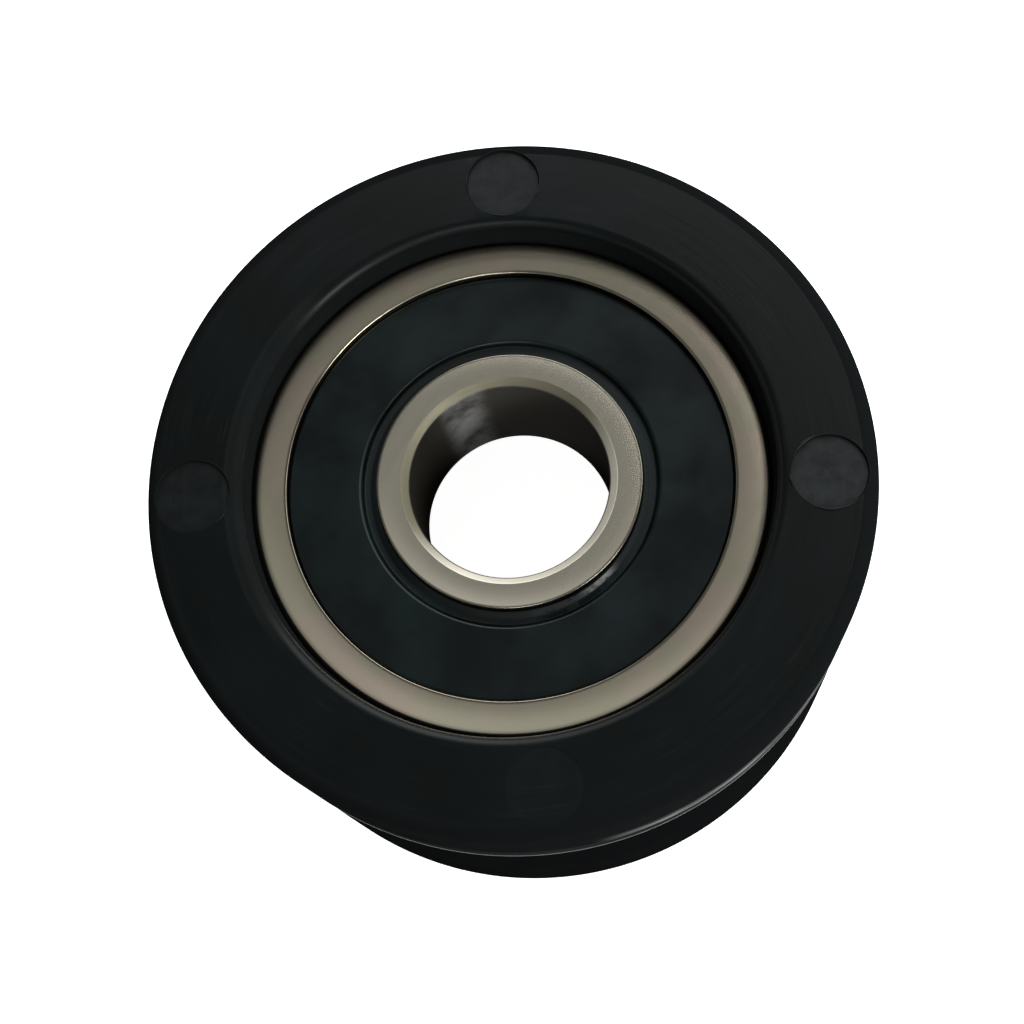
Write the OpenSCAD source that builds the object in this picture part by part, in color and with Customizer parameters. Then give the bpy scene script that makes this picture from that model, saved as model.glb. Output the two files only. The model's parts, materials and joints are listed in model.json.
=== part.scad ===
// V groove wheel: a moulded plastic wheel carried on a sealed deep groove ball bearing.
// The bearing is pushed into the wheel from the front, up to a shoulder. The inner ring
// sits on the axle, and the wheel turns round it with its groove on a V rail.
// Lengths are in millimetres. The spin axis is +Z, the origin is on that axis at the
// middle of the wheel's width, and the side that the bearing goes in from looks along +Z.

/* [Wheel] */
// Outside diameter of the two rims
wheel_d = 36; // [35:0.5:42]
// Width over the two side faces
wheel_w = 20; // [18:0.5:23]
// Width of the groove at the outside diameter
groove_w = 7.2; // [6:0.2:8.4]
// Angle between the two flanks of the groove
groove_angle = 90; // [80:5:120]
// Radius at the root of the groove
groove_root_r = 0.5; // [0.2:0.1:1]
// Radius on the corner where each rim meets a flank of the groove
groove_edge_r = 0.5; // [0.2:0.1:1]
// Radius on the corner where each rim meets its side face
rim_edge_r = 0.8; // [0.3:0.1:1.2]

/* [Bearing seat] */
// Depth from the front face of the wheel to the bearing
recess_depth = 1.6; // [1:0.2:3]
// How much wider in radius the recess is at its mouth than at the bearing
recess_flare = 0.15; // [0.1:0.05:0.8]
// Radius on the edge of the recess and of the hole in the back
mouth_edge_r = 0.3; // [0.2:0.05:0.6]
// Gap in radius between the bearing and its seat
seat_gap = 0.01; // [0.005:0.005:0.03]
// How far the shoulder behind the bearing reaches in over its outer ring
shoulder_h = 2; // [1.2:0.1:2.4]

/* [Ejector marks] */
// Number of round marks that the mould's ejector pins left in the front face
mark_count = 4; // [1:1:4]
// Angle from each mark to the next
mark_step = 93; // [60:1:93]
// Diameter of each mark
mark_d = 3.8; // [3:0.2:4.4]
// Depth of each mark
mark_depth = 0.15; // [0.1:0.05:0.3]

/* [Bearing] */
// Diameter of the bore that takes the axle
bore_d = 10; // [9:0.5:10.5]
// Outside diameter of the bearing
bearing_d = 26; // [25:0.5:27]
// Width of both rings
bearing_w = 8; // [8:0.2:9]
// Radius on the outside corners of the outer ring
outer_corner_r = 0.5; // [0.3:0.1:0.7]
// Chamfer at both ends of the bore
bore_chamfer = 0.4; // [0.2:0.1:0.6]
// Distance in radius between the shoulders of the two rings
ring_gap = 3.2; // [3:0.1:3.4]
// How far the inner ring is turned down beside its shoulder, for the lip of the seal
inner_step = 0.75; // [0.5:0.05:0.8]
// How far the outer ring is opened out beside its shoulder, for the rim of the seal
outer_step = 0.6; // [0.4:0.05:0.8]

/* [Balls and cage] */
// Diameter of the balls
ball_d = 4.762; // [4.6:0.001:4.8]
// Number of balls
ball_count = 7; // [5:1:7]
// Radius of each raceway's section, as a share of the ball diameter
raceway_share = 0.53; // [0.52:0.005:0.54]
// Gap between a ball and the bottom of each raceway
ball_play = 0.01; // [0.005:0.005:0.02]
// Gap between a ball and its pocket in the cage
pocket_play = 0.06; // [0.04:0.01:0.08]
// Thickness of the sheet that each half of the cage is pressed from
cage_sheet = 0.4; // [0.3:0.05:0.42]
// Gap in radius between the cage and the shoulders of the rings
cage_gap = 0.5; // [0.3:0.05:0.7]
// Diameter of the rivets that hold the two halves of the cage together
rivet_d = 0.8; // [0.6:0.1:1]
// Diameter of the heads of the rivets
rivet_head_d = 1.5; // [1.2:0.1:1.7]
// Height of the heads of the rivets
rivet_head_h = 0.25; // [0.15:0.05:0.35]

/* [Seals] */
// Depth of the face of each seal below the faces of the rings
seal_sink = 0.35; // [0.25:0.05:0.4]
// Thickness of each seal
seal_t = 0.6; // [0.4:0.05:0.62]
// Depth of the groove that the rim of each seal snaps into
snap_depth = 0.3; // [0.2:0.05:0.35]
// Distance from a ring face to the ledge that the rim of a seal stands on
ledge_depth = 1.2; // [1.1:0.05:1.3]
// Width of the groove round the inside of each seal, which leaves its lip free to flex
flex_w = 0.9; // [0.6:0.1:1.2]
// Depth of that groove below the face of the seal
flex_depth = 0.35; // [0.2:0.05:0.4]
// Gap between the lip of each seal and the inner ring
lip_gap = 0.03; // [0.02:0.01:0.05]
// Gap between the rim of each seal and the outer ring
seal_fit = 0.02; // [0.01:0.01:0.04]

/* [Hidden] */
$fn = 128;

// Wheel
rim_r = wheel_d / 2;
front_z = wheel_w / 2;
back_z = -front_z;
groove_depth = groove_w / 2 / tan(groove_angle / 2);
root_r = rim_r - groove_depth;

// Bearing seat
bearing_r = bearing_d / 2;
seat_r = bearing_r + seat_gap;
mouth_r = seat_r + recess_flare;
bearing_front_z = front_z - recess_depth;
bearing_back_z = bearing_front_z - bearing_w;
bearing_mid_z = (bearing_front_z + bearing_back_z) / 2;
back_hole_r = bearing_r - shoulder_h;

// Ejector marks, across the flat band between the recess and the rim
mark_circle_r = (mouth_r + rim_r) / 2;

// Rings and balls. The rings are drawn round z = 0 and moved to the bearing's middle.
half_w = bearing_w / 2;
bore_r = bore_d / 2;
pitch_r = (bore_r + bearing_r) / 2;
ball_r = ball_d / 2;
raceway_r = raceway_share * ball_d;
inner_raceway_pos = pitch_r - ball_r - ball_play + raceway_r;
outer_raceway_pos = pitch_r + ball_r + ball_play - raceway_r;
inner_shoulder_r = pitch_r - ring_gap / 2;
outer_shoulder_r = pitch_r + ring_gap / 2;
inner_face_r = inner_shoulder_r - inner_step;
outer_face_r = outer_shoulder_r + outer_step;
ledge_z = half_w - ledge_depth;
ball_angle = 360 / ball_count;

// Cage
pocket_r = ball_r + pocket_play;
cage_inner_r = inner_shoulder_r + cage_gap;
cage_outer_r = outer_shoulder_r - cage_gap;
rivet_hole_gap = 0.01;

// Seals
snap_w = ledge_depth / 3;
seal_face_z = half_w - seal_sink;
seal_back_z = seal_face_z - seal_t;
seal_rim_r = outer_face_r - 2 * seal_fit;
lip_r = inner_face_r + lip_gap;
lip_drop = flex_depth / 4;
face_edge_r = seal_sink / 2;
flex_edge_r = flex_depth / 4;

plastic_colour = [0.11, 0.12, 0.12];
steel_colour = [0.62, 0.59, 0.55];
ball_colour = [0.8, 0.8, 0.8];
cage_colour = [0.7, 0.66, 0.58];
rubber_colour = [0.08, 0.1, 0.1];

function unit(v) = v / norm(v);

// The corner at p of an outline, between its neighbours q and s, less a round of radius r.
// Taken from a convex corner it rounds it off; added to a hollow one it fills it.
module corner(p, q, s, r) {
    to_q = unit(q - p);
    to_s = unit(s - p);
    half_angle = acos(to_q * to_s) / 2;
    inward = unit(to_q + to_s);
    reach = r / tan(half_angle);
    centre = p + inward * r / sin(half_angle);
    difference() {
        polygon([p - inward * r / 4, p + to_q * reach, centre, p + to_s * reach]);
        translate(centre) circle(r);
    }
}

// An outline given as points, with the corners listed as [index, radius] rounded off and
// those in hollows filled to their radius.
module rounded_outline(points, rounds = [], hollows = []) {
    last = len(points);
    difference() {
        union() {
            polygon(points);
            for (h = hollows)
                corner(points[h[0]], points[(h[0] + last - 1) % last], points[(h[0] + 1) % last], h[1]);
        }
        for (c = rounds)
            corner(points[c[0]], points[(c[0] + last - 1) % last], points[(c[0] + 1) % last], c[1]);
    }
}

module in_bearing() {
    translate([0, 0, bearing_mid_z]) children();
}

module groove_wheel() {
    section = [
        [back_hole_r, back_z],
        [rim_r, back_z],
        [rim_r, -groove_w / 2],
        [root_r, 0],
        [rim_r, groove_w / 2],
        [rim_r, front_z],
        [mouth_r, front_z],
        [seat_r, bearing_front_z],
        [seat_r, bearing_back_z],
        [back_hole_r, bearing_back_z]
    ];
    color(plastic_colour)
    difference() {
        rotate_extrude()
            rounded_outline(
                section,
                rounds = [
                    [0, mouth_edge_r],
                    [1, rim_edge_r],
                    [2, groove_edge_r],
                    [4, groove_edge_r],
                    [5, rim_edge_r],
                    [6, mouth_edge_r]
                ],
                hollows = [[3, groove_root_r]]
            );
        for (i = [0:mark_count - 1])
            rotate(i * mark_step)
                translate([mark_circle_r, 0, front_z - mark_depth])
                    cylinder(d = mark_d, h = 2 * mark_depth);
    }
}

module outer_ring() {
    // Upper half of the section, from the raceway's middle round to the outside
    upper = [
        [outer_shoulder_r, ledge_z],
        [outer_face_r + snap_depth, ledge_z],
        [outer_face_r + snap_depth, ledge_z + snap_w],
        [outer_face_r, ledge_z + 1.5 * snap_w],
        [outer_face_r, half_w],
        [bearing_r, half_w]
    ];
    lower = [for (i = [len(upper) - 1:-1:0]) [upper[i].x, -upper[i].y]];
    section = concat(upper, lower);
    color(steel_colour)
    in_bearing()
        rotate_extrude()
            difference() {
                rounded_outline(section, rounds = [[5, outer_corner_r], [6, outer_corner_r]]);
                translate([outer_raceway_pos, 0]) circle(raceway_r);
            }
}

module inner_ring() {
    upper = [
        [inner_shoulder_r, ledge_z],
        [inner_face_r, ledge_z],
        [inner_face_r, half_w],
        [bore_r + bore_chamfer, half_w],
        [bore_r, half_w - bore_chamfer]
    ];
    lower = [for (i = [len(upper) - 1:-1:0]) [upper[i].x, -upper[i].y]];
    color(steel_colour)
    in_bearing()
        rotate_extrude()
            difference() {
                polygon(concat(upper, lower));
                translate([inner_raceway_pos, 0]) circle(raceway_r);
            }
}

module ball(i) {
    color(ball_colour)
    in_bearing()
        rotate((i - 1) * ball_angle)
            translate([pitch_r, 0, 0]) sphere(ball_r);
}

module at_each_rivet() {
    for (i = [0:ball_count - 1])
        rotate((i + 0.5) * ball_angle)
            translate([pitch_r, 0, 0]) children();
}

// One half of the ribbon cage: a flat ring, pressed up into a round pocket over each ball
module cage_half() {
    crest = pocket_r + cage_sheet;
    color(cage_colour)
    difference() {
        intersection() {
            difference() {
                cylinder(r = cage_outer_r, h = crest);
                translate([0, 0, -crest]) cylinder(r = cage_inner_r, h = 3 * crest);
            }
            union() {
                cylinder(r = cage_outer_r + cage_gap, h = cage_sheet);
                for (i = [0:ball_count - 1])
                    rotate(i * ball_angle)
                        translate([pitch_r, 0, 0]) sphere(crest);
            }
        }
        for (i = [0:ball_count - 1])
            rotate(i * ball_angle)
                translate([pitch_r, 0, 0]) sphere(pocket_r);
        at_each_rivet()
            translate([0, 0, -cage_sheet])
                cylinder(r = rivet_d / 2 + rivet_hole_gap, h = 3 * cage_sheet);
    }
}

module cage_front() {
    in_bearing() cage_half();
}

module cage_back() {
    in_bearing() mirror([0, 0, 1]) cage_half();
}

// A domed rivet through both halves of the cage between each two pockets
module cage_rivets() {
    head_r = rivet_head_d / 2;
    dome_r = (head_r * head_r + rivet_head_h * rivet_head_h) / (2 * rivet_head_h);
    color(cage_colour)
    in_bearing()
        at_each_rivet() {
            translate([0, 0, -cage_sheet]) cylinder(d = rivet_d, h = 2 * cage_sheet);
            for (side = [0, 1])
                mirror([0, 0, side])
                    translate([0, 0, cage_sheet])
                        intersection() {
                            cylinder(r = head_r, h = rivet_head_h);
                            translate([0, 0, rivet_head_h - dome_r]) sphere(dome_r);
                        }
        }
}

// A rubber faced seal: its rim snaps into the outer ring, its lip runs on the inner ring
module seal() {
    rim_foot_z = ledge_z + seal_fit;
    section = [
        [lip_r, seal_back_z],
        [outer_shoulder_r, seal_back_z],
        [outer_shoulder_r, rim_foot_z],
        [outer_face_r + snap_depth - seal_fit, rim_foot_z],
        [outer_face_r + snap_depth - seal_fit, rim_foot_z + snap_w - 2 * seal_fit],
        [seal_rim_r, rim_foot_z + 1.5 * snap_w],
        [seal_rim_r, seal_face_z],
        [lip_r + flex_w, seal_face_z],
        [lip_r + flex_w * 2 / 3, seal_face_z - flex_depth],
        [lip_r, seal_face_z - lip_drop]
    ];
    color(rubber_colour)
    rotate_extrude()
        rounded_outline(
            section,
            rounds = [[6, face_edge_r], [7, flex_edge_r]],
            hollows = [[8, flex_edge_r]]
        );
}

module seal_front() {
    in_bearing() seal();
}

module seal_back() {
    in_bearing() mirror([0, 0, 1]) seal();
}

groove_wheel();
outer_ring();
inner_ring();
for (i = [1:ball_count])
    ball(i);
cage_front();
cage_back();
cage_rivets();
seal_front();
seal_back();
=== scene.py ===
"""Looks for a V groove wheel: a black moulded wheel on a sealed ball bearing.

The wheel, the bearing's two rings and its two rubber seals are turned here as smooth pieces
that stand for their CAD solids. The balls, the cage and its rivets are the CAD's own.
Lengths written in millimetres are multiplied by MM, because the scene is in metres.
"""

import json
import math

import bmesh
import bpy
from mathutils import Matrix, Vector


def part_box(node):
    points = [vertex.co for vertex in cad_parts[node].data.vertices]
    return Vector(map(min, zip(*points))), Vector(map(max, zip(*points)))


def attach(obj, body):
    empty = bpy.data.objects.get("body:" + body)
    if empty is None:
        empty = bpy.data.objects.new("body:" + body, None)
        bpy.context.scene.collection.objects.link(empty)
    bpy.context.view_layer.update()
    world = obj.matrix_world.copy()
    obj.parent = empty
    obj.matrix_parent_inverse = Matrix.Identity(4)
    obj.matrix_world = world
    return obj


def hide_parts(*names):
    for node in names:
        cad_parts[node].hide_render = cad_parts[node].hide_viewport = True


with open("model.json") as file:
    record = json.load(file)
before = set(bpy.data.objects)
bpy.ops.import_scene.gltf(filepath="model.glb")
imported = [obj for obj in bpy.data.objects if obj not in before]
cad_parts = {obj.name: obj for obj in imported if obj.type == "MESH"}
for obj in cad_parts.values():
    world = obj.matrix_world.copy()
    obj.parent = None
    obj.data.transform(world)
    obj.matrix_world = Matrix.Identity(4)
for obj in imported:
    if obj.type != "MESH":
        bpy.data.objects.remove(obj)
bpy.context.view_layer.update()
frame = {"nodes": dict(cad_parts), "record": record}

MM = 0.001

# ---------------------------------------------------------------- sizes, from the frame
wheel_low, wheel_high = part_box("groove_wheel")
rings_low, rings_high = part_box("outer_ring")
rim_r = wheel_high.x
front_z = wheel_high.z
back_z = wheel_low.z
bearing_r = rings_high.x
bearing_front_z = rings_high.z
bearing_back_z = rings_low.z
bearing_mid_z = (bearing_front_z + bearing_back_z) / 2
half_w = bearing_front_z - bearing_mid_z
inner_shoulder_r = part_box("inner_ring")[1].x
axle_bore = next(m for m in frame["record"]["mounts"] if m["name"] == "axle_bore")
bore_r = axle_bore["dims"]["r_mm"] * MM

# Wheel, as in the part's source but for its groove's outer edges and its recess mouth's edge
groove_w = 7.2 * MM
groove_half_angle = math.radians(45)
groove_root_fillet = 0.5 * MM
groove_edge_fillet = 0.15 * MM
rim_edge_fillet = 0.8 * MM
mouth_fillet = 0.55 * MM
seat_r = bearing_r + 0.01 * MM
mouth_r = seat_r + 0.15 * MM
back_hole_r = bearing_r - 2 * MM
groove_root_r = rim_r - groove_w / 2 / math.tan(groove_half_angle)
mark_count = 4
mark_step = math.radians(93)
mark_r = 1.9 * MM
mark_depth = 0.15 * MM
mark_taper = 0.06 * MM
mark_circle_r = (mouth_r + rim_r) / 2

# How deep each pin mark goes, as a share, and how frosted its floor is
MARK_SINKS = (1, 1, 0.8, 0.15)
MARK_FROSTS = (1, 0.6, 0.3, 0.1)
# Lips that the pins raised round their marks: direction and spread in degrees, height in millimetres
MARK_LIPS = (
    ((-90, 30, 0.05), (135, 20, 0.07), (195, 7, 0.08)),
    ((-90, 20, 0.03), (178, 12, 0.05), (-20, 14, 0.05)),
    ((-6, 12, 0.04), (-33, 10, 0.05)),
    (),
)

# Directions of the sides that differ from the rest: the front rim's edge and the seal's lip are polished
# there, the outer ring's inner edge is left without painted shade so that its highlight shows, and the
# bore's chamfer is painted bright, a painted reflection
POLISH_SIDE = math.radians(-50)
LIP_SIDE = math.radians(-58)
UNSHADED_EDGE_SIDE = math.radians(121)
LIT_CHAMFER_SIDE = math.radians(-53)

# Flash left by the mould where the front rim meets the groove, and the dip before it
flash_h = 0.17 * MM
flash_w = 0.1 * MM
flash_top_w = 0.1 * MM
flash_fillet = 0.09 * MM
dip_w = 1 * MM

# Bearing, as in the part's source but for the outer ring's corners and the seals' flex groove
outer_shoulder_r = inner_shoulder_r + 3.2 * MM
inner_face_r = inner_shoulder_r - 0.75 * MM
outer_face_r = outer_shoulder_r + 0.6 * MM
outer_corner_fillet = 0.3 * MM
face_edge_fillet = 0.06 * MM
bore_chamfer = 0.4 * MM
bore_edge_fillet = 0.1 * MM
ledge_z = half_w - 1.2 * MM
snap_depth = 0.3 * MM
snap_w = 0.4 * MM
seal_sink = 0.35 * MM
seal_t = 0.6 * MM
seal_face_z = half_w - seal_sink
seal_gap = 0.02 * MM
seal_edge_fillet = 0.15 * MM
lip_r = inner_face_r + 0.03 * MM
flex_w = 0.82 * MM
flex_depth = 0.3 * MM
flex_fillet = 0.2 * MM
ball_r = 2.381 * MM
pitch_r = (bore_r + bearing_r) / 2
raceway_r = 0.53 * 2 * ball_r
raceway_shift = ball_r + 0.01 * MM - raceway_r
seal_rim_r = outer_face_r - 2 * seal_gap

TURN_STEPS = 256
RACEWAY_STEPS = 8
FILLET_STEPS = 6
MARK_STEPS = 72
LIP_STEPS = 120

# Points nearer to each other than this are merged, and points nearer to a circle lie on it
MERGE = 0.0005 * MM
NEAR = 0.002 * MM


# ---------------------------------------------------------------- modelling
def start_alone():
    """Object mode with nothing selected, so that an operator touches only what comes next."""
    if bpy.context.object and bpy.context.object.mode != "OBJECT":
        bpy.ops.object.mode_set(mode="OBJECT")
    bpy.ops.object.select_all(action="DESELECT")


def pick_ring(piece, radius, height):
    """In edit mode, selects the edges that lie on the circle of that radius and height."""
    bpy.ops.mesh.select_all(action="DESELECT")
    mesh = bmesh.from_edit_mesh(piece.data)
    for edge in mesh.edges:
        on_radius = all(abs(math.hypot(*end.co.xy) - radius) < NEAR for end in edge.verts)
        on_height = all(abs(end.co.z - height) < NEAR for end in edge.verts)
        if on_radius and on_height:
            edge.select_set(True)
    mesh.select_flush_mode()
    bmesh.update_edit_mesh(piece.data)


def corner_reach(before, corner, after, fillet):
    """How far along each side a fillet of that radius starts from its corner."""
    to_before = Vector((before[0] - corner[0], before[1] - corner[1])).normalized()
    to_after = Vector((after[0] - corner[0], after[1] - corner[1])).normalized()
    half_angle = math.acos(max(-1, min(1, to_before.dot(to_after)))) / 2
    return fillet / math.tan(half_angle)


def turned(name, outline):
    """A ring turned to a closed outline of (radius, height, fillet) corners."""
    start_alone()
    first_r, first_z, _ = outline[0]
    bpy.ops.mesh.primitive_circle_add(vertices=TURN_STEPS, radius=first_r, location=(0, 0, first_z))
    piece = bpy.context.object
    piece.name = name
    bpy.ops.object.transform_apply(location=True)
    bpy.ops.object.mode_set(mode="EDIT")
    bpy.ops.mesh.select_all(action="SELECT")
    radius = first_r
    height = first_z
    for next_r, next_z, _ in outline[1:] + outline[:1]:
        grow = next_r / radius
        bpy.ops.mesh.extrude_edges_move(TRANSFORM_OT_translate={"value": (0, 0, next_z - height)})
        bpy.ops.transform.resize(value=(grow, grow, 1), center_override=(0, 0, next_z))
        radius = next_r
        height = next_z
    bpy.ops.mesh.select_all(action="SELECT")
    bpy.ops.mesh.remove_doubles(threshold=MERGE)
    bpy.ops.mesh.normals_make_consistent(inside=False)
    count = len(outline)
    for i, (radius, height, fillet) in enumerate(outline):
        if fillet:
            reach = corner_reach(outline[i - 1], outline[i], outline[(i + 1) % count], fillet)
            pick_ring(piece, radius, height)
            bpy.ops.mesh.bevel(offset=reach, segments=FILLET_STEPS, profile=0.5, affect="EDGES")
    bpy.ops.object.mode_set(mode="OBJECT")
    return piece


def flat_faces_flat(piece):
    """Smooth shading that leaves the flat faces flat and keeps sharp edges sharp."""
    start_alone()
    piece.select_set(True)
    bpy.context.view_layer.objects.active = piece
    bpy.ops.object.shade_smooth_by_angle(angle=math.radians(35))
    weigh = piece.modifiers.new("even_normals", "WEIGHTED_NORMAL")
    weigh.keep_sharp = True
    bpy.ops.object.modifier_apply(modifier=weigh.name)


def cut(piece, cutter):
    """Takes the cutter out of the piece and removes it."""
    start_alone()
    bpy.context.view_layer.objects.active = piece
    tool = piece.modifiers.new("cut", "BOOLEAN")
    tool.operation = "DIFFERENCE"
    tool.object = cutter
    tool.solver = "EXACT"
    bpy.ops.object.modifier_apply(modifier=tool.name)
    bpy.data.objects.remove(cutter)


def split_slots(piece, is_second):
    """Gives the piece two slots, and the second one to the faces that the test picks."""
    piece.data.materials.append(None)
    piece.data.materials.append(None)
    for face in piece.data.polygons:
        face.material_index = 1 if is_second(face) else 0


# ---------------------------------------------------------------- pieces
def mark_place(i):
    """x and y of the middle of one pin mark."""
    return math.cos(mark_step * i) * mark_circle_r, math.sin(mark_step * i) * mark_circle_r


def make_wheel():
    """The moulded wheel, with its groove, its recess and the pins' marks."""
    flash_z = groove_w / 2 + groove_edge_fillet + flash_top_w
    dip_r = rim_r - flash_h
    outline = [
        (back_hole_r, back_z, mouth_fillet),
        (rim_r, back_z, rim_edge_fillet),
        (rim_r, -groove_w / 2, groove_edge_fillet),
        (groove_root_r, 0, groove_root_fillet),
        (rim_r, groove_w / 2, groove_edge_fillet),
        (rim_r, flash_z, flash_fillet),
        (dip_r, flash_z + flash_w, flash_fillet / 3),
        (rim_r, flash_z + flash_w + dip_w, flash_fillet),
        (rim_r, front_z, rim_edge_fillet),
        (mouth_r, front_z, mouth_fillet),
        (seat_r, bearing_front_z, 0),
        (seat_r, bearing_back_z, 0),
        (back_hole_r, bearing_back_z, 0),
    ]
    wheel = turned("wheel_moulding", outline)
    for i in range(mark_count):
        start_alone()
        bpy.ops.mesh.primitive_cone_add(
            vertices=MARK_STEPS,
            radius1=mark_r - mark_taper,
            radius2=mark_r + mark_taper,
            depth=2 * mark_depth,
        )
        pin = bpy.context.object
        turn = Matrix.Rotation(mark_step * i, 4, "Z")
        lift = mark_depth * (1 - MARK_SINKS[i])
        pin.matrix_world = turn @ Matrix.Translation((mark_circle_r, 0, front_z + lift))
        cut(wheel, pin)
    flat_faces_flat(wheel)

    def is_matt(face):
        """True on the rims' lands and roundings, in the groove and on the upright walls."""
        levelness = abs(face.normal.z)
        upright = levelness < 0.45
        in_groove = abs(face.center.z) < groove_w / 2
        on_rounding = math.hypot(*face.center.xy) > rim_r - rim_edge_fillet and levelness < 0.9995
        is_flash = groove_w / 2 < face.center.z < flash_z + flash_w
        return (upright or in_groove or on_rounding) and not is_flash

    split_slots(wheel, is_matt)
    return wheel


def make_lips(i):
    """The lips that one ejector pin raised round its mark: a ring, thin where there is no lip."""
    start_alone()
    lip_h = 0.1 * MM
    thin_h = 0.008
    ripple_h = 0.006
    bpy.ops.mesh.primitive_torus_add(
        major_segments=LIP_STEPS, minor_segments=10, major_radius=mark_r, minor_radius=lip_h
    )
    ring = bpy.context.object
    ring.name = f"pin_lips_{i + 1}"
    for corner in ring.data.vertices:
        around = math.atan2(corner.co.y, corner.co.x)
        height = thin_h + ripple_h * math.sin(around * 7 + i) * math.sin(around * 3)
        for direction, spread, lip in MARK_LIPS[i]:
            off = (around - math.radians(direction) + math.pi) % (2 * math.pi) - math.pi
            height += lip * math.exp(-(off / math.radians(spread)) ** 2)
        share = height * MM / lip_h
        middle = Vector((math.cos(around), math.sin(around), 0)) * mark_r
        corner.co = middle + (corner.co - middle) * share
    mark_x, mark_y = mark_place(i)
    bpy.ops.transform.translate(value=(mark_x, mark_y, front_z))
    bpy.ops.object.transform_apply(location=True)
    bpy.ops.object.shade_smooth()
    return ring


def mirrored(corners, mid_z):
    """An outline given as its upper half, about z = 0, with the lower half added below it."""
    lower = [(r, -z, fillet) for r, z, fillet in reversed(corners)]
    return [(r, z + mid_z, fillet) for r, z, fillet in corners + lower]


def raceway(side, shoulder_r):
    """Upper half of a raceway's arc, from its shoulder to its middle: side 1 is the outer ring's."""
    centre = pitch_r + side * raceway_shift
    widest = math.acos(abs(shoulder_r - centre) / raceway_r)
    turns = [widest * (1 - i / RACEWAY_STEPS) for i in range(RACEWAY_STEPS)]
    return [(centre + side * raceway_r * math.cos(t), raceway_r * math.sin(t), 0) for t in turns]


def make_outer_ring():
    """The bearing's outer ring, with its raceway and the undercuts that hold the seals."""
    upper = raceway(1, outer_shoulder_r)[::-1] + [
        (outer_shoulder_r, ledge_z, 0),
        (outer_face_r + snap_depth, ledge_z, 0),
        (outer_face_r + snap_depth, ledge_z + snap_w, 0),
        (outer_face_r, ledge_z + 1.5 * snap_w, 0),
        (outer_face_r, half_w, face_edge_fillet),
        (bearing_r, half_w, outer_corner_fillet),
    ]
    middle = (pitch_r + raceway_shift + raceway_r, bearing_mid_z, 0)
    ring = turned("outer_race", [middle] + mirrored(upper, bearing_mid_z))
    flat_faces_flat(ring)
    return ring


def make_inner_ring():
    """The bearing's inner ring, with its raceway and the steps that the seals' lips run round."""
    upper = raceway(-1, inner_shoulder_r)[::-1] + [
        (inner_shoulder_r, ledge_z, 0),
        (inner_face_r, ledge_z, 0),
        (inner_face_r, half_w, face_edge_fillet),
        (bore_r + bore_chamfer, half_w, face_edge_fillet),
        (bore_r, half_w - bore_chamfer, bore_edge_fillet),
    ]
    middle = (pitch_r - raceway_shift - raceway_r, bearing_mid_z, 0)
    ring = turned("inner_race", [middle] + mirrored(upper, bearing_mid_z))
    flat_faces_flat(ring)

    def in_bore(face):
        """True in the bore and on its chamfers."""
        return math.hypot(*face.center.xy) < bore_r + bore_chamfer * 1.1

    split_slots(ring, in_bore)
    return ring


def make_seal(name, side):
    """A seal, in front of the balls for side = 1 and behind them for side = -1."""
    rim_foot_z = ledge_z + seal_gap
    seal_back_z = seal_face_z - seal_t
    snap_r = outer_face_r + snap_depth - seal_gap
    section = [
        (lip_r, seal_back_z, 0),
        (outer_shoulder_r, seal_back_z, 0),
        (outer_shoulder_r, rim_foot_z, 0),
        (snap_r, rim_foot_z, 0),
        (snap_r, rim_foot_z + snap_w - 2 * seal_gap, 0),
        (seal_rim_r, rim_foot_z + 1.5 * snap_w, 0),
        (seal_rim_r, seal_face_z, seal_edge_fillet),
        (lip_r + flex_w, seal_face_z, flex_fillet),
        (lip_r + flex_w * 0.8, seal_face_z - flex_depth, flex_fillet / 2),
        (lip_r + flex_w * 0.42, seal_face_z - flex_depth, flex_fillet / 4),
        (lip_r + flex_w * 0.06, seal_face_z - flex_depth / 8, flex_fillet / 3),
        (lip_r, seal_face_z - flex_depth / 3, 0),
    ]
    outline = [(r, bearing_mid_z + side * z, fillet) for r, z, fillet in section]
    seal = turned(name, outline)
    flat_faces_flat(seal)
    return seal


# ---------------------------------------------------------------- materials
class Tone:
    """A node's output socket. Arithmetic on it adds Math nodes."""

    def __init__(self, nodes, socket):
        self.nodes = nodes
        self.socket = socket

    def maths(self, operation, *values):
        return self.nodes.node("ShaderNodeMath", {"operation": operation}, dict(enumerate(values)))

    def __add__(self, other):
        return self.maths("ADD", self, other)

    __radd__ = __add__

    def __sub__(self, other):
        return self.maths("SUBTRACT", self, other)

    def __rsub__(self, other):
        return self.maths("SUBTRACT", other, self)

    def __mul__(self, other):
        return self.maths("MULTIPLY", self, other)

    __rmul__ = __mul__

    def __truediv__(self, other):
        return self.maths("DIVIDE", self, other)

    def __pow__(self, other):
        return self.maths("POWER", self, other)

    def __abs__(self):
        return self.maths("ABSOLUTE", self)

    def at_most(self, top):
        return self.maths("MINIMUM", self, top)


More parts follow.
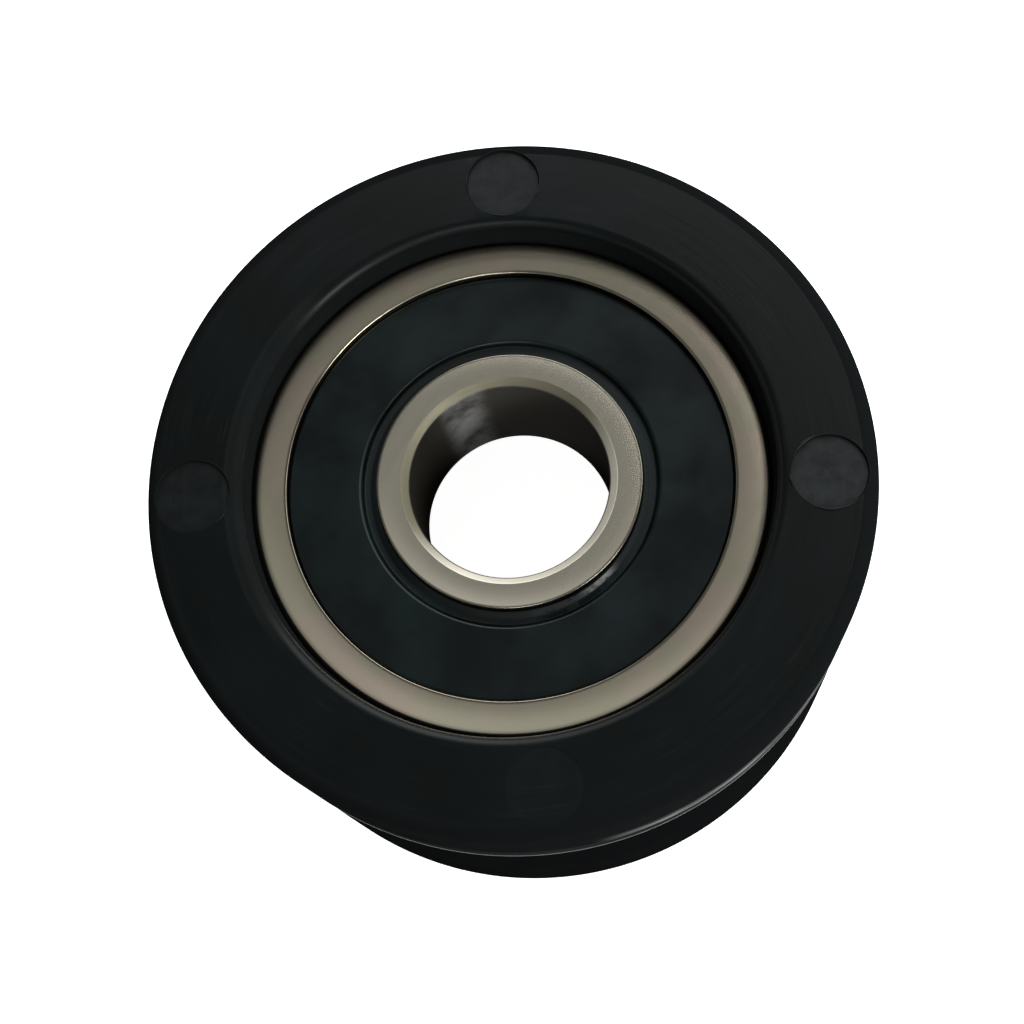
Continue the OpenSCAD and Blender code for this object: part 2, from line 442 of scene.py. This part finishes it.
class Nodes:
    """The nodes of a material or of the room."""

    def __init__(self, tree):
        self.tree = tree

    def node(self, kind, settings, values, out=0):
        """Adds a node, applies its settings, then fills its sockets, given by name or number."""
        added = self.tree.nodes.new(kind)
        for setting, value in settings.items():
            setattr(added, setting, value)
        for socket, value in values.items():
            self.fill(added.inputs[socket], value)
        return Tone(self, added.outputs[out])

    def fill(self, socket, value):
        """Links the socket to a tone, or sets it to a plain value."""
        if isinstance(value, Tone):
            self.tree.links.new(value.socket, socket)
        else:
            socket.default_value = value

    def parts(self, vector):
        """x, y and z of a vector."""
        split = self.node("ShaderNodeSeparateXYZ", {}, {0: vector})
        return [Tone(self, socket) for socket in split.socket.node.outputs]

    def joined(self, x, y, z):
        """A vector from its x, y and z."""
        return self.node("ShaderNodeCombineXYZ", {}, {0: x, 1: y, 2: z})

    def noise(self, vector, scale, detail=3, rough=0.5):
        """Cloudy noise from 0 to 1: the larger the scale, the finer it is."""
        values = {"Vector": vector, "Scale": scale, "Detail": detail, "Roughness": rough}
        return self.node("ShaderNodeTexNoise", {}, values)

    def step(self, value, low, high, first=0, last=1):
        """A smooth step from first to last as the value goes from low to high."""
        values = {0: value, 1: low, 2: high, 3: first, 4: last}
        return self.node("ShaderNodeMapRange", {"interpolation_type": "SMOOTHSTEP"}, values)

    def rays(self):
        """1 where a thing is seen straight, and 1 where it is mirrored or seen through glass."""
        seen = self.node("ShaderNodeLightPath", {}, {}, out="Is Camera Ray")
        kinds = seen.socket.node.outputs
        return seen, Tone(self, kinds["Is Glossy Ray"]) + Tone(self, kinds["Is Transmission Ray"])

    def mix(self, share, first, second):
        """A colour between two colours. Sockets 6 and 7, and output 2, are the node's colours."""
        values = {0: share, 6: first, 7: second}
        return self.node("ShaderNodeMix", {"data_type": "RGBA"}, values, out=2)

    def bump(self, height, strength, distance):
        """A normal that follows a height."""
        values = {"Height": height, "Strength": strength, "Distance": distance}
        return self.node("ShaderNodeBump", {}, values)


class Finish(Nodes):
    """A material and its nodes."""

    def __init__(self, name):
        self.material = bpy.data.materials.new(name)
        self.material.use_nodes = True
        super().__init__(self.material.node_tree)
        self.shader = self.tree.nodes["Principled BSDF"]
        self.place = self.node("ShaderNodeTexCoord", {}, {}, out="Object")

    def set(self, **values):
        """Sets the shader's sockets; an underscore in a name stands for a space."""
        for name, value in values.items():
            self.fill(self.shader.inputs[name.replace("_", " ")], value)

    def in_mm(self):
        """The point's place in millimetres."""
        return self.node("ShaderNodeVectorMath", {"operation": "SCALE"}, {0: self.place, "Scale": 1 / MM})


def rgb(red, green, blue):
    """A colour as a socket takes it."""
    return (red, green, blue, 1)


def length(x, y):
    """Distance from the axis, or from a point whose x and y were taken off first."""
    return (x * x + y * y) ** 0.5


def along(x, y, direction):
    """How far a place lies towards a direction."""
    return x * math.cos(direction) + y * math.sin(direction)


def plastic_finish():
    """Black moulded nylon: satin, with turned streaks, pin marks and light rubs."""
    finish = Finish("black_nylon")
    point = finish.in_mm()
    x, y, z = finish.parts(point)
    radius = length(x, y)
    # Streaks that run round the wheel: the direction is kept slow and the radius fast
    around = finish.joined(x / radius * 2, y / radius * 2, radius * 6)
    streaks = finish.noise(around, 1.6, 4, 0.6)
    cloud = finish.noise(point, 0.16, 3, 0.55)
    grain = finish.noise(point, 9, 2, 0.6)
    # Floors of the pin marks, each frosted by its own share
    on_front = finish.step(z, front_z / MM - 0.5, front_z / MM - 0.3)
    mottle = finish.step(finish.noise(point, 1.3, 4, 0.6), 0.3, 0.65, 0.45, 1)
    mark = 0
    for i in range(mark_count):
        mark_x, mark_y = mark_place(i)
        off = length(x - mark_x / MM, y - mark_y / MM)
        mark = finish.step(off, mark_r / MM + 0.03, mark_r / MM - 0.12) * MARK_FROSTS[i] + mark
    mark = mark * on_front * mottle
    pale = finish.step(cloud, 0.35, 0.7)
    black = finish.mix(pale, rgb(0.0002, 0.0010, 0.0009), rgb(0.0006, 0.0022, 0.0026))
    # Pale rub streaks, short and faint, and a few specks of dust
    rubs = finish.step(streaks, 0.55, 0.75) * finish.step(finish.noise(point, 0.3, 2, 0.5), 0.45, 0.65)
    specks = finish.step(finish.noise(point, 3.1, 1, 0.5), 0.79, 0.84)
    black = finish.mix(rubs * 0.35 + specks * 0.3, black, rgb(0.011, 0.012, 0.0125))
    colour = finish.mix(mark, black, rgb(0.011, 0.0133, 0.0138))
    finish.set(Base_Color=colour)
    # The recess mouth is duller on its -X side
    dull = finish.step(radius, mouth_r / MM + 1, mouth_r / MM + 0.6) * finish.step(x / radius, -0.7, -0.9)
    finish.set(Roughness=0.4 + (streaks - 0.5) * 0.2 + mark * 0.15 + dull * 0.4)
    finish.set(Specular_IOR_Level=0.13)
    height = streaks * 0.5 + grain * (0.25 + mark)
    finish.set(Normal=finish.bump(height, 0.35, 0.02 * MM))
    return finish.material


def matt_finish():
    """The same black nylon where the mould was sparked: matt, with painted shade in the groove and on the
    back rim and a painted highlight along the front rim's edge.
    """
    finish = Finish("black_nylon_matt")
    point = finish.in_mm()
    x, y, z = finish.parts(point)
    radius = length(x, y)
    cloud = finish.noise(point, 0.4, 3, 0.5)
    grain = finish.noise(point, 7, 3, 0.6)
    # The groove and the back rim are painted blacker than the front rim, as painted shade
    edge_z = groove_w / 2 / MM
    front = finish.step(z, 1, edge_z)
    black = finish.mix(cloud, rgb(0.0035, 0.0038, 0.004), rgb(0.0055, 0.006, 0.0062))
    grey = finish.mix(cloud, rgb(0.0052, 0.0060, 0.0061), rgb(0.0082, 0.0094, 0.0097))
    # Just above the groove the front rim is painted pale, a painted highlight line, and on one side it is
    # polished in dashes
    outside = finish.step(radius, rim_r / MM - 1, rim_r / MM - 0.5)
    paled = finish.step(z, edge_z + 2.1, edge_z + 0.8) * front * outside
    # The front rounding is painted a flat, slightly darker tone: painted shade
    shaded_rounding = finish.step(z, front_z / MM - 0.7, front_z / MM - 0.3)
    upper = finish.mix(shaded_rounding, grey, rgb(0.0058, 0.0068, 0.0070))
    tint = finish.mix(paled * 0.65, finish.mix(front, black, upper), rgb(0.03, 0.032, 0.033))
    dashes = finish.step(finish.noise(finish.joined(x, y, z * 5), 0.4, 3, 0.55), 0.36, 0.64)
    side = finish.step(along(x, y, POLISH_SIDE) / radius, 0.9, 0.97)
    polished = side * finish.step(z, edge_z + 3.3, edge_z + 1.7) * front * outside
    finish.set(Base_Color=tint)
    finish.set(Roughness=0.75)
    finish.set(Specular_IOR_Level=0)
    finish.set(Coat_Weight=polished * (dashes * 0.7 + 0.3) * 0.42)
    finish.set(Coat_Roughness=0.3)
    finish.set(Normal=finish.bump(grain, 0.3, 0.02 * MM))
    return finish.material


def steel_finish():
    """Ground bearing steel, on both rings but for the bore."""
    finish = Finish("ground_steel")
    point = finish.in_mm()
    x, y, _ = finish.parts(point)
    radius = length(x, y)
    # Grinding lines: long shallow arcs round a far centre
    grinder_x = 55
    grinder_y = -30
    far = length(x - grinder_x, y - grinder_y)
    lines = finish.noise(finish.joined(far * 14, x * 0.12, y * 0.12), 1, 3, 0.65)
    cloud = finish.noise(point, 0.33, 2, 0.5)
    # Both rings are painted darker towards their edges, as painted shade, more on the rim's left and
    # right than at its top and bottom; on one side the outer ring's inner edge is left unshaded so that
    # its highlight shows
    unshaded_edge_side = finish.step(along(x, y, UNSHADED_EDGE_SIDE) / radius, 0.8, 0.95) * 0.65
    inner_edge_shade = finish.step(abs(radius - inner_face_r / MM), 0.16, 0.06)
    outer_edge_shade = finish.step(abs(radius - outer_face_r / MM), 0.2, 0.07) * (1 - unshaded_edge_side)
    rim = bearing_r / MM
    rim_edge = finish.step(radius - abs(y) / radius * 0.14, rim - 0.6, rim - 0.25)
    edges = (inner_edge_shade + outer_edge_shade + rim_edge).at_most(1) * 0.85
    tint = finish.mix(finish.step(cloud, 0.42, 0.58), rgb(0.54, 0.515, 0.385), rgb(0.595, 0.51, 0.41))
    paled = finish.mix(finish.step(lines, 0.3, 0.75) * 0.5, tint, rgb(0.575, 0.525, 0.415))
    # The inner ring is the brighter one
    shoulder = inner_shoulder_r / MM
    on_inner = finish.step(radius, shoulder + 1, shoulder)
    bright = finish.mix(on_inner, paled, rgb(0.68, 0.64, 0.52))
    # The edge mask mixes in a dark brown: painted shade at the rings' edges
    finish.set(Base_Color=finish.mix(edges, bright, rgb(0.09, 0.085, 0.065)))
    finish.set(Metallic=1)
    finish.set(Roughness=0.24 + (lines - 0.5) * 0.06)
    finish.set(Normal=finish.bump(lines, 0.03, 0.01 * MM))
    return finish.material


def bore_finish():
    """The inner ring's bore: dark, darker towards -X, with a pale grey patch that is a painted highlight.
    """
    finish = Finish("dark_bore_steel")
    point = finish.in_mm()
    x, y, z = finish.parts(point)
    patches = finish.noise(point, 0.5, 4, 0.6)
    lines = finish.noise(finish.joined(x, y, z * 6), 1.2, 3)
    # A pale grey patch on the bore's wall: a painted highlight
    highlight_x = -2.65
    highlight_y = 4.25
    highlight_patch = finish.step(length(x - highlight_x, y - highlight_y), 1.6, 0.2) * finish.step(patches, 0.25, 0.65)
    # The wall is darker towards the -X side
    wall_r = bore_r / MM
    plus_x_side = finish.step(x, 0.4 - wall_r, 2.5 - wall_r)
    bore_tone = finish.mix(plus_x_side, rgb(0.015, 0.014, 0.011), rgb(0.045, 0.042, 0.037))
    wall = finish.mix(highlight_patch, bore_tone, rgb(0.21, 0.21, 0.205))
    # The chamfer is dark olive on one side and painted bright on the other, a painted reflection
    chamfer_lit = finish.step(along(x, y, LIT_CHAMFER_SIDE), -1.5, 3)
    edge = finish.mix(chamfer_lit, rgb(0.17, 0.16, 0.115), rgb(0.6, 0.57, 0.49))
    chamfer = finish.step(length(x, y), wall_r + 0.03, wall_r + 0.1)
    finish.set(Base_Color=finish.mix(chamfer, wall, edge))
    finish.set(Metallic=chamfer)
    finish.set(Roughness=0.5 + chamfer * 0.15 + (lines - 0.5) * 0.2)
    finish.set(Specular_IOR_Level=0)
    finish.set(Normal=finish.bump(lines, 0.15, 0.01 * MM))
    return finish.material


def rubber_finish():
    """Black nitrile rubber, smooth, with a faint blue-green bloom."""
    finish = Finish("nitrile_rubber")
    point = finish.in_mm()
    x, y, _ = finish.parts(point)
    radius = length(x, y)
    cloud = finish.noise(point, 0.28, 3, 0.55)
    grain = finish.noise(point, 12, 2, 0.5)
    bloom = finish.step(cloud, 0.35, 0.7)
    # One side of the lip is polished by the ring that it runs against
    lip = finish.step(radius, lip_r / MM + 0.75, lip_r / MM + 0.45)
    breaks = finish.step(finish.noise(point, 0.9, 2, 0.5), 0.25, 0.5)
    polish = lip * breaks * finish.step(along(x, y, LIP_SIDE) / radius, 0.92, 0.98)
    finish.set(Base_Color=finish.mix(bloom, rgb(0.0005, 0.0022, 0.0021), rgb(0.001, 0.0050, 0.0054)))
    finish.set(Roughness=0.36 + (cloud - 0.5) * 0.3 + lip * 0.3 - polish * 0.47)
    finish.set(Specular_IOR_Level=0.2)
    finish.set(Normal=finish.bump(grain, 0.12, 0.01 * MM))
    return finish.material


def ball_finish():
    """Polished steel with hair lines from running."""
    finish = Finish("polished_steel")
    point = finish.in_mm()
    hair = finish.noise(point, 4, 4, 0.7)
    finish.set(Base_Color=finish.mix(hair, rgb(0.55, 0.55, 0.54), rgb(0.68, 0.68, 0.67)))
    finish.set(Metallic=1)
    finish.set(Roughness=0.08 + hair * 0.08)
    return finish.material


def cage_finish():
    """Pressed strip steel, dull, with fine pits."""
    finish = Finish("pressed_strip")
    point = finish.in_mm()
    pits = finish.noise(point, 5, 4, 0.6)
    finish.set(Base_Color=finish.mix(pits, rgb(0.42, 0.39, 0.34), rgb(0.58, 0.55, 0.49)))
    finish.set(Metallic=1)
    finish.set(Roughness=0.34 + pits * 0.16)
    finish.set(Normal=finish.bump(pits, 0.2, 0.01 * MM))
    return finish.material


def floor_finish():
    """A white table: plain pale paint, lifted to white where it is seen or mirrored."""
    finish = Finish("white_table")
    seen, mirrored_too = finish.rays()
    cloud = finish.noise(finish.place, 8, 2, 0.5)
    finish.set(Base_Color=finish.mix(cloud, rgb(0.80, 0.80, 0.80), rgb(0.84, 0.84, 0.84)))
    finish.set(Roughness=0.9)
    finish.set(Specular_IOR_Level=0)
    glow = finish.node("ShaderNodeEmission", {}, {0: rgb(1, 1, 1), 1: (seen + mirrored_too) * 0.97})
    paint = Tone(finish, finish.shader.outputs[0])
    surface = finish.node("ShaderNodeAddShader", {}, {0: paint, 1: glow})
    finish.fill(finish.tree.nodes["Material Output"].inputs["Surface"], surface)
    return finish.material


def wear(piece, materials):
    """Gives a piece's slots those materials, in order, and the first one to any slot past them."""
    while len(piece.material_slots) < len(materials):
        piece.data.materials.append(None)
    for i, slot in enumerate(piece.material_slots):
        slot.material = materials[i] if i < len(materials) else materials[0]


# ---------------------------------------------------------------- the part
plastic = plastic_finish()
steel = steel_finish()
rubber = rubber_finish()

PIECES = [
    (make_wheel(), "wheel", "groove_wheel", "black_plastic", [plastic, matt_finish()]),
    (make_outer_ring(), "wheel", "outer_ring", "bearing_steel", [steel]),
    (make_inner_ring(), "axle_ring", "inner_ring", "bearing_steel", [steel, bore_finish()]),
    (make_seal("front_shield", 1), "wheel", "seal_front", "seal_rubber", [rubber]),
    (make_seal("back_shield", -1), "wheel", "seal_back", "seal_rubber", [rubber]),
]
for piece, body, node, slot, materials in PIECES:
    wear(piece, materials)
    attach(piece, body)
    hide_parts(node)

for i in range(mark_count):
    if MARK_LIPS[i]:
        lips = make_lips(i)
        wear(lips, [plastic])
        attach(lips, "wheel")

balls = ball_finish()
cage = cage_finish()
for name, node in frame["nodes"].items():
    if name.startswith("ball_"):
        wear(node, [balls])
    elif name.startswith("cage_"):
        wear(node, [cage])


# ---------------------------------------------------------------- floor, light and camera
table_r = 3
start_alone()
bpy.ops.mesh.primitive_circle_add(vertices=96, radius=table_r, fill_type="NGON", location=(0, 0, back_z))
floor = bpy.context.object
floor.name = "table"
bpy.ops.object.transform_apply(location=True)
wear(floor, [floor_finish()])


def outwards(turn, rise):
    """The direction out of the wheel at a turn from -Y towards +X and a rise, in radians."""
    return Vector((math.sin(turn) * math.cos(rise), -math.cos(turn) * math.cos(rise), math.sin(rise)))


def lamp(name, azimuth, elevation, distance, size, watts):
    """A square soft box, aimed at the wheel. Azimuth 0 is the side of the wheel's -Y."""
    light = bpy.data.lights.new(name, "AREA")
    light.size = size
    light.energy = watts
    item = bpy.data.objects.new(name, light)
    bpy.context.scene.collection.objects.link(item)
    out = outwards(math.radians(azimuth), math.radians(elevation))
    item.location = out * distance
    item.rotation_euler = out.to_track_quat("Z", "Y").to_euler()


lamp("window", azimuth=57, elevation=22, distance=0.5, size=0.22, watts=2)
lamp("back_light", azimuth=178, elevation=29, distance=0.6, size=0.45, watts=3.3)
lamp("side_light", azimuth=130, elevation=45, distance=0.5, size=0.3, watts=1.25)
lamp("left_light", azimuth=265, elevation=68, distance=0.6, size=0.3, watts=0.08)
lamp("front_light", azimuth=5, elevation=46, distance=0.5, size=0.15, watts=0.75)
lamp("ceiling", azimuth=0, elevation=88, distance=0.6, size=0.25, watts=0.08)

world = bpy.data.worlds.new("room")
bpy.context.scene.world = world
world.use_nodes = True
# The room is dim, but seen as white. Past the table's edge, up to 25 degrees above the horizon,
# gloss mirrors it white too
room_level = 0.13
room = Nodes(world.node_tree)
seen, mirrored_too = room.rays()
_, _, sine_of_rise = room.parts(room.node("ShaderNodeTexCoord", {}, {}, out="Generated"))
low_down = room.step(sine_of_rise, math.sin(math.radians(30)), math.sin(math.radians(25)))
white = seen + mirrored_too * low_down
room_shader = world.node_tree.nodes["Background"]
room.fill(room_shader.inputs["Color"], rgb(1, 1, 1))
room.fill(room_shader.inputs["Strength"], white * (1 - room_level) + room_level)

# The camera looks down on the front face, from the wheel's -Y side and a little right
view_azimuth = math.radians(18.14)
view_elevation = math.radians(71.9)
view_roll = math.radians(16.57)
view_distance = 80.7 * MM
view_target = Vector((0.24 * MM, -1.75 * MM, bearing_front_z))

lens = bpy.data.cameras.new("camera")
lens.lens = 57.5
lens.sensor_width = 36
lens.clip_start = 5 * MM
camera = bpy.data.objects.new("camera", lens)
bpy.context.scene.collection.objects.link(camera)
back = outwards(view_azimuth, view_elevation)
level_right = Vector((math.cos(view_azimuth), math.sin(view_azimuth), 0))
level_up = back.cross(level_right)
right = level_right * math.cos(view_roll) - level_up * math.sin(view_roll)
up = back.cross(right)
facing = Matrix((right, up, back)).transposed().to_4x4()
camera.matrix_world = Matrix.Translation(view_target + back * view_distance) @ facing
bpy.context.scene.camera = camera

bpy.context.scene.view_settings.view_transform = "Standard"
